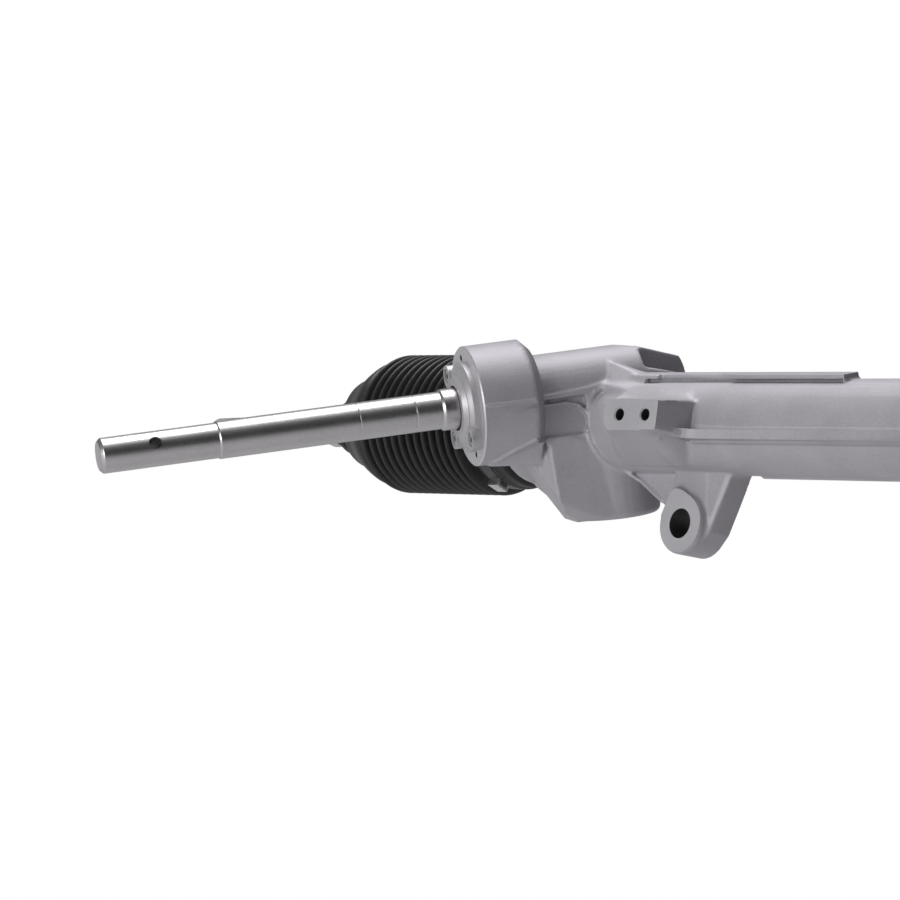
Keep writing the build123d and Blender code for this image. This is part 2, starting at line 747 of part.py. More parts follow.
def ball_socket(x, direction):
    """Inner ball joint housing, screwed into the rack end, crimped round the ball seat."""
    cavity = ball_radius + static_clearance + seat_thickness + static_clearance
    shell = turned((0, -rack_end_thread_length), (rack_end_thread_radius, -rack_end_thread_length),
                   (rack_end_thread_radius, 0), (socket_radius - 1, 0), (socket_radius, 1),
                   (socket_radius, ball_offset + 2), (socket_radius - 2.6, socket_length), (0, socket_length))
    flats = Pos(0, 0, 7) * (Box(60, 60, 9) - Box(2 * socket_radius - 4, 60, 9))
    mouth = rod(socket_mouth_radius, ball_offset, socket_length + 1)
    socket = shell - flats - Pos(0, 0, ball_offset) * Sphere(cavity) - mouth
    return along_rack(socket, x, direction)


def ball_seat(x, direction):
    outer = ball_radius + static_clearance + seat_thickness
    shell = Sphere(outer) - Sphere(ball_radius + static_clearance)
    shell -= rod(socket_mouth_radius, 0, outer + 1)
    return along_rack(Pos(0, 0, ball_offset) * shell, x, direction)


def tie_rod_place(x, direction):
    """Axes of a tie rod: origin at its ball, Z outwards along the rod, drooping a little at rest."""
    centre = x + direction * ball_offset
    droop = radians(tie_rod_droop)
    down = Vector(0, -sin(radians(mount_tilt)), -cos(radians(mount_tilt)))
    outwards = Vector(direction * cos(droop), 0, 0) + down * sin(droop)
    return Plane(origin=(centre, 0, 0), x_dir=down.cross(outwards), z_dir=outwards).location


def tie_rod(x, direction):
    neck = tie_rod_neck_radius
    groove = tie_rod_radius - 0.5
    cuff_end = small_cuff_start + small_cuff_length
    thread = tie_rod_length - tie_rod_thread_length
    shaft = turned((0, 0), (neck, 0), (neck, 18), (tie_rod_radius, 24),
                   (tie_rod_radius, small_cuff_start - 1), (groove, small_cuff_start - 1),
                   (groove, cuff_end + 1), (tie_rod_radius, cuff_end + 1),
                   (tie_rod_radius, thread), (tie_rod_radius - 0.4, thread + 1),
                   (tie_rod_radius - 0.4, tie_rod_length - 1.5), (tie_rod_radius - 2, tie_rod_length),
                   (0, tie_rod_length))
    return tie_rod_place(x, direction) * (Sphere(ball_radius) + shaft)


# Boots and clamps

def bellows_profile(start, length, offset):
    """Zigzag (radius, height) points of the folds, offset inwards by the wall for the inner side."""
    pitch = length / boot_ridges
    points = []
    for index in range(boot_ridges):
        base = start + index * pitch
        points += [(boot_valley_radius - offset, base), (boot_ridge_radius - offset, base + pitch * 0.42),
                   (boot_ridge_radius - offset, base + pitch * 0.58)]
    return points + [(boot_valley_radius - offset, start + length)]


def boot(rack_end, seat_end, direction):
    """Rubber bellows from the housing's boot seat to the groove of the tie rod."""
    ball_distance = abs(rack_end + direction * ball_offset - seat_end)
    folds_length = ball_distance + cone_end_on_rod - boot_cone_length - folds_start
    groove = boot_seat_radius - boot_seat_groove + static_clearance
    lip_end = -boot_seat_lip_width - 0.2
    lip = boot_seat_radius + static_clearance
    outer = boot_seat_radius + boot_cuff_thickness
    valley = boot_valley_radius - boot_wall
    outside = [(outer, -boot_cuff_length), (outer, 2)] + bellows_profile(folds_start, folds_length, 0)
    inside = [(groove, -boot_cuff_length), (groove, lip_end - 1), (lip, lip_end), (lip, 0.1), (valley, 0.1)]
    inside += bellows_profile(folds_start, folds_length, boot_wall)
    top = folds_start + folds_length
    end = top + boot_cone_length
    cone = [(30.2, top + 2.5), (28, top + 9), (24, top + 17), (21.6, top + 22), (21.6, top + 25),
            (19, top + 26), (cone_end_radius, end)]
    outside += cone
    inside += [(radius - 1.6, height) for radius, height in cone]
    folded = along_rack(turned(*(outside + inside[::-1])), seat_end, direction)
    start = cone_end_on_rod - 1.4
    loose = tie_rod_radius + 0.6
    tight = tie_rod_radius - 0.5 + static_clearance
    flange = cone_end_radius + 2.2
    cuff_end = small_cuff_start + small_cuff_length
    cuff = turned((loose, start), (flange, start), (flange, start + 2.6), (small_cuff_radius, start + 3.6),
                  (small_cuff_radius, cuff_end), (tight, cuff_end), (tight, small_cuff_start),
                  (loose, small_cuff_start - 2))
    return folded + tie_rod_place(rack_end, direction) * cuff


def clamp_ear(radius, start, width):
    """Pinched ear of a band clamp, standing on the band at the side where local X points."""
    height = 3.4
    ear = Pos(radius + height / 2 - 0.3, 0, start + width / 2) * Box(height, 7, width)
    hollow = Pos(radius + height / 2 - 0.6, 0, start + width / 2) * Box(height - 1.2, 4.8, width + 1)
    return ear - hollow


def large_clamp(seat_end, direction):
    """Ear clamp round the large cuff, with its ear underneath towards the front."""
    radius = boot_seat_radius + boot_cuff_thickness + static_clearance
    start = -clamp_width - 2
    band = ring(radius + clamp_thickness, radius, start, start + clamp_width)
    clamp = band + clamp_ear(radius + clamp_thickness, start, clamp_width)
    return along_rack(Rot(Z=180 - direction * large_clamp_turn) * clamp, seat_end, direction)


def small_clamp(rack_end, direction):
    radius = small_cuff_radius + static_clearance
    start = small_cuff_start + small_cuff_length / 2 - clamp_width / 2
    band = ring(radius + clamp_thickness, radius, start, start + clamp_width)
    clamp = Rot(Z=180) * (band + clamp_ear(radius + clamp_thickness, start, clamp_width))
    return tie_rod_place(rack_end, direction) * clamp


def part_pieces():
    """Every piece by its node name, in the rack's axes."""
    outer_ring, inner_ring, balls = upper_bearing()
    pieces = {
        "housing": housing(),
        "pinion_cover": pinion_cover(),
        "cover_screws": cover_screws(),
        "pinion_seal": pinion_seal(),
        "bearing_outer_ring": outer_ring,
        "bearing_snap_ring": housing_snap_ring(),
        "pinion_lower_bush": lower_bush(),
        "pinion_shaft": along_pinion(pinion_shaft()),
        "bearing_inner_ring": inner_ring,
        "bearing_balls": balls,
        "shaft_circlip": shaft_circlip(),
        "yoke": yoke(),
        "yoke_liner": yoke_liner(),
        "yoke_o_ring": yoke_o_ring(),
        "yoke_spring": yoke_spring(),
        "yoke_plug": yoke_plug(),
        "yoke_lock_ring": yoke_lock_ring(),
        "rack_bar": rack_bar(),
        "rack_bush": rack_bush(),
    }
    sides = [("left", rack_left_end, housing_left_end, -1), ("right", rack_right_end, housing_right_end, 1)]
    for side, rack_end, seat_end, direction in sides:
        pieces[side + "_ball_socket"] = ball_socket(rack_end, direction)
        pieces[side + "_ball_seat"] = ball_seat(rack_end, direction)
        pieces[side + "_tie_rod"] = tie_rod(rack_end, direction)
        pieces[side + "_boot"] = boot(rack_end, seat_end, direction)
        pieces[side + "_large_clamp"] = large_clamp(seat_end, direction)
        pieces[side + "_small_clamp"] = small_clamp(rack_end, direction)
    return pieces


def to_mount_axes(piece):
    """Turns and moves a piece so that the left mounting bore is the origin, with its bolt along Y."""
    return Pos(-left_lug_x, 0, lug_drop) * Rot(X=mount_tilt) * piece


os.makedirs("parts", exist_ok=True)
for name, piece in part_pieces().items():
    export_step(to_mount_axes(piece), "parts/" + name + ".step")
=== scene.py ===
from math import cos, hypot, pi, radians, sin

import bmesh
import bpy
from mathutils import Matrix, Vector


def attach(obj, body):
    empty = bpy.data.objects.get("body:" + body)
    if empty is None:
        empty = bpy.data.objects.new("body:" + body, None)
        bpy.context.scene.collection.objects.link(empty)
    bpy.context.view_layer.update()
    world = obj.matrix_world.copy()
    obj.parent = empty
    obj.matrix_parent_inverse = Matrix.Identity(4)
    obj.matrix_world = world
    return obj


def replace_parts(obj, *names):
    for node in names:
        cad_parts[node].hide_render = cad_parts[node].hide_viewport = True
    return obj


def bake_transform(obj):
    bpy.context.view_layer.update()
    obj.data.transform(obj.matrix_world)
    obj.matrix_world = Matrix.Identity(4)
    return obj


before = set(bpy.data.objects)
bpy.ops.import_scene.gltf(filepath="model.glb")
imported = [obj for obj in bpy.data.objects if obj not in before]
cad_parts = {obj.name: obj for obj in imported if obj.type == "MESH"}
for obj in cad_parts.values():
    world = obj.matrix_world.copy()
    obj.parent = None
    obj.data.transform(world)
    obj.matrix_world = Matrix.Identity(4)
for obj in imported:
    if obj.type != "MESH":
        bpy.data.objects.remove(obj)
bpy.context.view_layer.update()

# Camera. The photograph looks along the gear from its far end, a little from below, with a long lens
# from more than two metres away, and crops the gear on the right.
sensor_width, focal_length = 36, 197.96
camera_spot = (1.5952, -1.4679, -0.1796)
view_back = Vector((0.766, -0.6362, -0.0917)).normalized()
view_right = Vector((0.6427, 0.7558, 0.1248)).normalized()
view_up = view_back.cross(view_right).normalized()
view_right = view_up.cross(view_back)
camera_data = bpy.data.cameras.new("camera")
camera_data.sensor_width = sensor_width
camera_data.lens = focal_length
camera = bpy.data.objects.new("camera", camera_data)
bpy.context.collection.objects.link(camera)
camera.matrix_world = Matrix((view_right, view_up, view_back)).transposed().to_4x4()
camera.location = camera_spot
bpy.context.scene.camera = camera

# Studio. A wide pale floor far below the gear, which hangs as it does in the car, a soft lamp above and
# a weaker one in front. The camera sees a white surround, but reflections see a grey one that darkens
# behind the gear and towards its far end, which gives the bare steel its bands.
floor_reach, floor_spot = 5, (0.1, 0, -0.47)
bottom_shade, top_shade = (0.30, 0.30, 0.31, 1), (1.0, 1.0, 1.0, 1)
sky_shades = ((0.42, 0.60), (0.48, 0.75), (0.54, 0.42), (0.64, 0.24), (0.85, 0.26), (0.96, 1.0))
dark_towards, darkest_from = (0.86, 0.5, 0), 0.7
bright_strength, dark_strength = 0.88, 0.06
lamp_aim = Vector((-0.05, 0, 0.03))


def new_node(tree, kind, inputs=None, **settings):
    """A new shader node with the given settings and input values."""
    made = tree.nodes.new(kind)
    for name, value in settings.items():
        setattr(made, name, value)
    for name, value in (inputs or {}).items():
        made.inputs[name].default_value = value
    return made


def soft_lamp(name, spot, size, watts):
    """A square lamp that shines on the pinion tower."""
    lamp_data = bpy.data.lights.new(name, "AREA")
    lamp_data.size = size
    lamp_data.energy = watts
    lamp = bpy.data.objects.new(name, lamp_data)
    bpy.context.collection.objects.link(lamp)
    lamp.location = spot
    lamp.rotation_euler = (Vector(spot) - lamp_aim).to_track_quat("Z", "Y").to_euler()


bm = bmesh.new()
bmesh.ops.create_grid(bm, x_segments=1, y_segments=1, size=floor_reach)
bmesh.ops.translate(bm, vec=floor_spot, verts=bm.verts)
floor_mesh = bpy.data.meshes.new("floor")
bm.to_mesh(floor_mesh)
bm.free()
floor = bpy.data.objects.new("floor", floor_mesh)
bpy.context.collection.objects.link(floor)

floor_paint = bpy.data.materials.new("pale floor")
floor_paint.use_nodes = True
matt = floor_paint.node_tree.nodes["Principled BSDF"]
matt.inputs["Base Color"].default_value = (0.8, 0.8, 0.8, 1)
matt.inputs["Roughness"].default_value = 0.9
floor_mesh.materials.append(floor_paint)

world = bpy.data.worlds.new("studio")
bpy.context.scene.world = world
world.use_nodes = True
tree = world.node_tree
tree.nodes.clear()
sight = new_node(tree, "ShaderNodeLightPath")
direction = new_node(tree, "ShaderNodeTexCoord")
height = new_node(tree, "ShaderNodeSeparateXYZ")
tree.links.new(direction.outputs["Generated"], height.inputs[0])
shell = new_node(tree, "ShaderNodeMapRange", {"From Min": -1})
tree.links.new(height.outputs["Z"], shell.inputs["Value"])
sky = new_node(tree, "ShaderNodeValToRGB")
ramp = sky.color_ramp.elements
for stop, place, shade in ((ramp[0], 0.0, bottom_shade), (ramp[1], 1.0, top_shade)):
    stop.position = place
    stop.color = shade
for place, shade in sky_shades:
    ramp.new(place).color = (shade, shade, shade, 1)
tree.links.new(shell.outputs["Result"], sky.inputs["Fac"])
dark_side = new_node(tree, "ShaderNodeVectorMath", {1: dark_towards}, operation="DOT_PRODUCT")
tree.links.new(direction.outputs["Generated"], dark_side.inputs[0])
dimmed = new_node(tree, "ShaderNodeMapRange", {"From Min": 0.0, "From Max": darkest_from,
                                               "To Min": bright_strength, "To Max": dark_strength})
tree.links.new(dark_side.outputs["Value"], dimmed.inputs["Value"])
around = new_node(tree, "ShaderNodeBackground")
tree.links.new(sky.outputs["Color"], around.inputs["Color"])
tree.links.new(dimmed.outputs["Result"], around.inputs["Strength"])
white = new_node(tree, "ShaderNodeBackground", {"Color": (1, 1, 1, 1)})
seen = new_node(tree, "ShaderNodeMath", operation="MAXIMUM")
tree.links.new(sight.outputs["Is Camera Ray"], seen.inputs[0])
tree.links.new(sight.outputs["Is Transmission Ray"], seen.inputs[1])
either = new_node(tree, "ShaderNodeMixShader")
tree.links.new(seen.outputs[0], either.inputs["Fac"])
tree.links.new(around.outputs[0], either.inputs[1])
tree.links.new(white.outputs[0], either.inputs[2])
surround = new_node(tree, "ShaderNodeOutputWorld")
tree.links.new(either.outputs[0], surround.inputs["Surface"])

bpy.context.scene.view_settings.view_transform = "Standard"
soft_lamp("top lamp", (-0.35, -0.2, 1.4), size=0.9, watts=14)
soft_lamp("front lamp", (0.0, -1.6, -0.06), size=0.6, watts=9)


# Housing. One aluminium casting, shot-blasted and bare, with soft corners everywhere; only the joint
# faces, the pad, the lug faces and the bores are machined. The CAD solid is remeshed so that its
# corners run out softly, and the machined faces are cut flat afterwards.
millimetre = Matrix.Scale(0.001, 4)
tower_x, rack_height = -0.066, 0.044
rack_tilt, shaft_lean = radians(17.5), radians(25)
rack_to_pinion = 17
rack_place = Matrix.Translation((tower_x, 0, rack_height)) @ Matrix.Rotation(rack_tilt, 4, "X") @ millimetre
pinion_axes = Matrix(((0, cos(shaft_lean), -sin(shaft_lean)),
                      (0, -sin(shaft_lean), -cos(shaft_lean)),
                      (-1, 0, 0))).to_4x4()
pinion_local = Matrix.Translation((0, 0, rack_to_pinion)) @ pinion_axes
pinion_place = rack_place @ pinion_local


def copied(node):
    """A bmesh copy of a CAD node with its loose triangles joined."""
    bm = bmesh.new()
    bm.from_mesh(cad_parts[node].data)
    bmesh.ops.remove_doubles(bm, verts=bm.verts, dist=1e-6)
    return bm


def show(name, bm, body, materials, sharp=32, flat=None):
    """Makes an object that rides on a body, smooth but for edges over a sharp angle and a flat material."""
    for face in bm.faces:
        face.smooth = face.material_index != flat
    for edge in bm.edges:
        edge.smooth = not edge.is_manifold or edge.calc_face_angle(0) < radians(sharp)
    mesh = bpy.data.meshes.new(name)
    bm.to_mesh(mesh)
    bm.free()
    for material in materials:
        mesh.materials.append(material)
    piece = bpy.data.objects.new(name, mesh)
    bpy.context.collection.objects.link(piece)
    if body:
        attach(piece, body)
    return piece


def modified(bm, *modifiers):
    """The bmesh after modifiers, given as (type, settings), are applied to it."""
    mesh = bpy.data.meshes.new("working")
    bm.to_mesh(mesh)
    bm.free()
    holder = bpy.data.objects.new("working", mesh)
    bpy.context.collection.objects.link(holder)
    for kind, settings in modifiers:
        modifier = holder.modifiers.new(kind, kind)
        for name, value in settings.items():
            setattr(modifier, name, value)
    shaped = holder.evaluated_get(bpy.context.evaluated_depsgraph_get())
    made = bmesh.new()
    made.from_mesh(shaped.data)
    bpy.data.objects.remove(holder)
    bpy.data.meshes.remove(mesh)
    return made


def grain_group():
    """Fine mottling and pits, used by every metal and rubber."""
    group = bpy.data.node_groups.new("grain", "ShaderNodeTree")
    for name, way in (("Scale", "INPUT"), ("Mask", "OUTPUT"), ("Height", "OUTPUT")):
        group.interface.new_socket(name, in_out=way, socket_type="NodeSocketFloat")
    start = new_node(group, "NodeGroupInput")
    end = new_node(group, "NodeGroupOutput")
    place = new_node(group, "ShaderNodeTexCoord")
    broad = new_node(group, "ShaderNodeTexNoise", {"Scale": 55, "Detail": 4})
    fine = new_node(group, "ShaderNodeTexNoise", {"Detail": 3})
    both = new_node(group, "ShaderNodeMix", {"Factor": 0.6}, data_type="FLOAT")
    group.links.new(place.outputs["Object"], broad.inputs["Vector"])
    group.links.new(place.outputs["Object"], fine.inputs["Vector"])
    group.links.new(start.outputs["Scale"], fine.inputs["Scale"])
    group.links.new(broad.outputs["Fac"], both.inputs["A"])
    group.links.new(fine.outputs["Fac"], both.inputs["B"])
    group.links.new(both.outputs["Result"], end.inputs["Mask"])
    group.links.new(fine.outputs["Fac"], end.inputs["Height"])
    return group


grain = grain_group()
grain_depth = 0.0002


def finish_material(name, dark, light, metallic, roughness, scale, bump):
    """A Principled material whose colour and roughness wander between two values with the grain."""
    material = bpy.data.materials.new(name)
    material.use_nodes = True
    tree = material.node_tree
    surface = tree.nodes["Principled BSDF"]
    surface.inputs["Metallic"].default_value = metallic
    texture = new_node(tree, "ShaderNodeGroup", node_tree=grain)
    texture.inputs["Scale"].default_value = scale
    colours = new_node(tree, "ShaderNodeValToRGB")
    for stop, place, colour in zip(colours.color_ramp.elements, (0.35, 0.65), (dark, light)):
        stop.position = place
        stop.color = (*colour, 1)
    tree.links.new(texture.outputs["Mask"], colours.inputs["Fac"])
    tree.links.new(colours.outputs["Color"], surface.inputs["Base Color"])
    gloss = new_node(tree, "ShaderNodeMapRange", {"From Min": 0.3, "From Max": 0.7,
                                                  "To Min": roughness[0], "To Max": roughness[1]})
    tree.links.new(texture.outputs["Mask"], gloss.inputs["Value"])
    tree.links.new(gloss.outputs["Result"], surface.inputs["Roughness"])
    if bump:
        relief = new_node(tree, "ShaderNodeBump", {"Strength": bump, "Distance": grain_depth})
        tree.links.new(texture.outputs["Height"], relief.inputs["Height"])
        tree.links.new(relief.outputs["Normal"], surface.inputs["Normal"])
    return material


cast_aluminium = finish_material("blasted cast aluminium", (0.37, 0.355, 0.39), (0.46, 0.44, 0.48), 0.35,
                                 (0.5, 0.62), 1400, 0.35)
milled_aluminium = finish_material("milled aluminium", (0.52, 0.51, 0.54), (0.60, 0.59, 0.62), 0.6,
                                   (0.34, 0.44), 2600, 0.12)
# Near-black inside every hole and bore: painted shade where little light gets in.
painted_shade_bore = finish_material("bore with painted shade", (0.050, 0.050, 0.054), (0.090, 0.088, 0.094), 0.4,
                            (0.45, 0.6), 1400, 0.2)
# A darker copy of the cast aluminium for the bevel under the tower and the groove beside the rib: painted
# shade.
painted_shade_aluminium = finish_material("cast aluminium with painted shade", (0.27, 0.265, 0.28),
                                   (0.36, 0.355, 0.37), 0.3, (0.5, 0.65), 1400, 0.2)
casting_looks = [cast_aluminium, milled_aluminium, painted_shade_bore, painted_shade_aluminium]
cast, milled, bored, painted_shade = range(4)


def snap_to_cylinder(bm, axes, radius, low, high):
    """Moves vertices that lie close to a cylinder about local Z onto it, so that facets vanish."""
    reach = 0.3
    back = axes.inverted()
    for vert in bm.verts:
        spot = back @ vert.co
        if low < spot.z < high:
            distance = hypot(spot.x, spot.y)
            if 0 < abs(distance - radius) < reach:
                spot.x *= radius / distance
                spot.y *= radius / distance
                vert.co = axes @ spot


def block(low, high, place):
    """A box between two corners of the given axes."""
    bm = bmesh.new()
    bmesh.ops.create_cube(bm, size=1)
    size = Vector(high) - Vector(low)
    middle = (Vector(high) + Vector(low)) / 2
    sized = place @ Matrix.Translation(middle) @ Matrix.Diagonal((*size, 1))
    bmesh.ops.transform(bm, matrix=sized, verts=bm.verts)
    return bm


def drill(radius, start, end, place, segments=64):
    """A cylinder about local Z of the given axes."""
    bm = bmesh.new()
    bmesh.ops.create_cone(bm, cap_ends=True, segments=segments, radius1=radius, radius2=radius,
                          depth=end - start)
    bmesh.ops.transform(bm, matrix=place @ Matrix.Translation((0, 0, (start + end) / 2)), verts=bm.verts)
    return bm


def hull(points, place):
    """The convex body round a few points of the given axes."""
    bm = bmesh.new()
    for point in points:
        bm.verts.new(place @ Vector(point))
    bmesh.ops.convex_hull(bm, input=bm.verts)
    return bm


def prism(outline, low, high, place):
    """A convex plate from an outline in X and Z, from low to high along Y."""
    return hull([(x, y, z) for x, z in outline for y in (low, high)], place)


def turned(outline, place, segments=96):
    """A closed (radius, height) outline spun about local Z and put in place."""
    bm = bmesh.new()
    corners = [bm.verts.new((x, 0, z)) for x, z in outline]
    edges = [bm.edges.new((corners[i - 1], corners[i])) for i in range(len(corners))]
    bmesh.ops.spin(bm, geom=corners + edges, cent=(0, 0, 0), axis=(0, 0, 1), angle=2 * pi, steps=segments,
                   use_merge=True)
    bmesh.ops.remove_doubles(bm, verts=bm.verts, dist=1e-4)
    bmesh.ops.recalc_face_normals(bm, faces=bm.faces)
    bmesh.ops.transform(bm, matrix=place, verts=bm.verts)
    return bm


def part_ring(outline, start, sweep, place):
    """A (radius, height) outline swept about local Z from one angle through another, in degrees."""
    bm = bmesh.new()
    rings = []
    steps = round(sweep / 3)
    for step in range(steps + 1):
        spot = place @ Matrix.Rotation(radians(start + sweep * step / steps), 4, "Z")
        rings.append([bm.verts.new(spot @ Vector((x, 0, z))) for x, z in outline])
    for near, far in zip(rings, rings[1:]):
        for i in range(len(outline)):
            bm.faces.new((near[i - 1], near[i], far[i], far[i - 1]))
    bm.faces.new(rings[0])
    bm.faces.new(rings[-1])
    bmesh.ops.recalc_face_normals(bm, faces=bm.faces)
    return bm


def bead(path, radius, place):
    """A raised cast line: small balls in a row, which the remesh melts together."""
    bm = bmesh.new()
    for start, end in zip(path, path[1:]):
        start, end = place @ Vector(start), place @ Vector(end)
        count = round((end - start).length / (0.6 * radius)) + 1
        for step in range(count + 1):
            spot = Matrix.Translation(start.lerp(end, step / count))
            bmesh.ops.create_icosphere(bm, subdivisions=1, radius=radius, matrix=spot)
    return bm


def join(bm, other):
    """Adds a second bmesh to the first."""
    mesh = bpy.data.meshes.new("joined")
    other.to_mesh(mesh)
    other.free()
    bm.from_mesh(mesh)
    bpy.data.meshes.remove(mesh)
    return bm


def machined(bm, *groups):
    """The piece after groups of cutters, given as (material of the cut faces, cutters), are taken off it."""
    for cut_material, cutters in groups:
        group = bmesh.new()
        for cutter in cutters:
            join(group, cutter)
        for face in group.faces:
            face.material_index = cut_material
        mesh = bpy.data.meshes.new("cutter")
        group.to_mesh(mesh)
        group.free()
        tool = bpy.data.objects.new("cutter", mesh)
        bpy.context.collection.objects.link(tool)
        bm = modified(bm, ("BOOLEAN", {"object": tool, "operation": "DIFFERENCE", "solver": "MANIFOLD"}))
        bpy.data.objects.remove(tool)
        bpy.data.meshes.remove(mesh)
    return bm


# The casting's own axes, in millimetres: X along the rack and Z towards the pinion. The upright axes
# share its X, and the pinion's own axes point down to the rack, sideways and out along the shaft. Faces
# that get machined are first pushed out by some stock.
upright = Matrix.Rotation(-rack_tilt, 4, "X")
across_rack = upright @ Matrix.Rotation(radians(90), 4, "X")
into_pad = across_rack @ Matrix.Rotation(pi, 4, "X")
along_x = Matrix.Rotation(radians(90), 4, "Y")
to_upright, to_pinion = upright.inverted(), pinion_local.inverted()
pinion_out = pinion_local.to_3x3() @ Vector((0, 0, 1))
tower_start, tower_end, tower_radius = 33.6, 62.4, 27.0
barrel_radius, tube_radius, tube_start, tube_end = 19.0, 21.2, 100, 398
pad_face, pad_end, pad_middle = -42.0, 80.0, -1.2
pad_hole_x, pad_hole_pitch, pad_hole_radius, pad_hole_depth = 55.8, 16.5, 2.7, 12
sink_radius, sink_depth = 3.2, 0.4
lugs, lugs_from = ((66, 1), (344, -1)), 40
lug_face, lug_top, lug_bore_height, lug_bore_radius = 8.0, -30, -44, 6.65
cover_bore_radius, cover_bore_depth = 16.03, 7
dowel_turns, dowel_circle, dowel_radius, dowel_depth = (14, 188), 21.9, 1.4, 5
fin_end, fin_top, fin_bottom, fin_front = 338, -5, -9, -26
rib_start, rib_end, rib_near, rib_far, rib_top = 26, 162, -6, 3.5, 24
stock, in_plane = 2.0, 0.02

bm = copied("housing")
bmesh.ops.transform(bm, matrix=rack_place.inverted(), verts=bm.verts)
for vert in bm.verts:
    spot = to_upright @ vert.co
    along = (to_pinion @ vert.co).z
    if abs(spot.y - pad_face) < in_plane:
        vert.co = upright @ Vector((spot.x, spot.y - stock, spot.z))
    elif abs(abs(spot.y) - lug_face) < in_plane and spot.z < lug_top and spot.x > lugs_from:
        vert.co = upright @ Vector((spot.x, spot.y + (stock if spot.y > 0 else -stock), spot.z))
    elif abs(along - tower_end) < in_plane:
        vert.co = vert.co + stock * pinion_out

# Forms that only the finished casting has: the rest of the barrel beside its flat wall and of the tower
# over it, the crown behind the pad, a gusset from the barrel to the tube, the arch and the shoulder
# under the tower, more metal for the fin and for the rib on the tube, and a web inside each lug.
arch_radius, arch_x, arch_z, arch_top = 9, 11.4, 21.8, 18.2
arch_axes = Matrix(((0, -1, 0, arch_x), (0, 0, 1, 0), (-1, 0, 0, arch_z), (0, 0, 0, 1)))
crown_outline = ((-42, 5.3), (-33, 6.7), (-25, 8.3), (-19.5, 8.6), (-15, 5), (-15, -4), (-42, 0))
barrel_rest = part_ring([(13.5, -16.5), (barrel_radius, -16.5), (barrel_radius, 3), (13.5, 3)], 84, 78,
                        pinion_local)
tower_rest = part_ring([(20, tower_start), (tower_radius, tower_start), (tower_radius, 40), (20, 40)],
                       45, 155, pinion_local)
crown = prism([(-y, z) for y, z in crown_outline], 62, pad_end,
              upright @ Matrix.Rotation(radians(-90), 4, "Z"))
gusset = hull([(12.2, -4.8, 30.8), (17, -10.5, 22), (22, -12, 19), (23, 4, 23.3), (40, -4, 21.2),
               (40, 3, 21.2), (12, 4, 20), (14, -8, 18)], Matrix())
arch_nose = drill(arch_radius, 8, arch_top, pinion_local @ arch_axes, 48)
arch_leg = block((arch_x - arch_radius, 8, arch_z), (arch_x + arch_radius, arch_top, 33), pinion_local)
shoulder = hull([(13, 9, 15.5), (13, 9, 36), (30, 9, 36), (40, 9, 31), (14, arch_top, 31.5), (26, 18.4, 31.5),
                 (46, 18.2, 30), (52, 17, 28), (56.5, 16, 20), (57, 14, 12), (20, 19.6, 14), (27, 20.8, 4),
                 (55.5, 20, 12), (55.5, 20.6, 4), (57, 9, 15.5)], pinion_local)
fin_stock = block((pad_end, fin_front - 2, fin_bottom - 1.2), (fin_end + 2, -16, fin_top + 1.4), upright)
rib_stock = block((rib_start, rib_near, 17), (rib_end, rib_far, rib_top), Matrix())
lug_web = ((6, -13), (25, -13), (21, -26), (13, -48), (7, -44))
forms = [barrel_rest, tower_rest, crown, gusset, arch_nose, arch_leg, shoulder, fin_stock, rib_stock]
for lug_x, inwards in lugs:
    forms.append(prism([(lug_x + inwards * x, z) for x, z in lug_web], -4.6, 6, upright))
for form in forms:
    join(bm, form)

# What the remeshed casting loses: the recess beside the arch, and the metal above the wall that climbs
# from the pad to the top of the tube. The corners round that wall are then smoothed far more than others.
voxel = 0.6
smoothing_reach = 12
trims = [block((0, 16.4, 13), (17, 21, 33.5), pinion_local)]
wall_line = ((-43, 5.5), (-33, 7.2), (-24.5, 9.0), (-20.4, 10.5), (-18.1, 12.2), (-14.6, 15.8), (-10, 18.9))
for near, far in zip(wall_line, wall_line[1:]):
    corners = [(x, y, z) for x in (45, 92) for y, z in (near, far, (far[0], 30), (near[0], 30))]
    trims.append(hull(corners, upright))
bm = modified(bm, ("REMESH", {"mode": "VOXEL", "voxel_size": voxel}))
for trim in trims:
    bm = machined(bm, (cast, [trim]))
soft_zone = []
for vert in bm.verts:
    spot = to_upright @ vert.co
    round_wall = 19 < spot.x < 86 and -38 < spot.y < 8 and 7 < spot.z < 31
    if round_wall and vert.co.y < -9 + 0.1 * spot.x:
        soft_zone.append(vert)
for step in range(round(smoothing_reach / voxel)):
    bmesh.ops.smooth_vert(bm, verts=soft_zone, factor=0.5, use_axis_x=True, use_axis_y=True, use_axis_z=True)

# Raised lines of the casting: the barrel's lip and the arch's edge, the tower's parting line and the
# fold under it, the long lip from the barrel round to the lug, and the arc below the pad.
arch_line = [(2.2, arch_top, 33)]
for turn in (1.57, 1.0, 0.5, 0.0, -0.5, -1.0, -1.4):
    arch_line.append((arch_x - 9.2 * sin(turn), arch_top, arch_z - 9.2 * cos(turn)))
barrel_lip = [(-1.1, 18.9, 33), (-1.8, 18.8, 20), (-2.9, 18.7, 9), (-5, 18.2, 1)]
parting_line = [(-1.6, 26.95, 38), (-1.9, 26.95, 61)]
tower_fold = [(-12.3, -50.7, -24.1), (-3.6, -47.5, -18.5), (3.6, -42.0, -12.8)]
long_lip = [(18, -16, 17), (13.3, -20.6, 11.8), (11.4, -20.9, 5.4), (12.3, -20.9, -1.5), (14.8, -18.6, -9.9),
            (17.9, -13.8, -15.9), (21.1, -5.4, -20.2), (30, -1.2, -25), (44.7, -0.8, -33.4)]
pad_arc = [(72.5, -32, -10), (67, -30, -11.5), (62.5, -24, -14.2), (60, -12, -18.6)]
for path, radius, place in ((barrel_lip, 1.1, pinion_local), (arch_line, 0.9, pinion_local),
                            (parting_line, 0.8, pinion_local), (tower_fold, 1.1, upright),
                            (long_lip, 1.1, upright), (pad_arc, 0.9, upright)):
    join(bm, bead(path, radius, place))
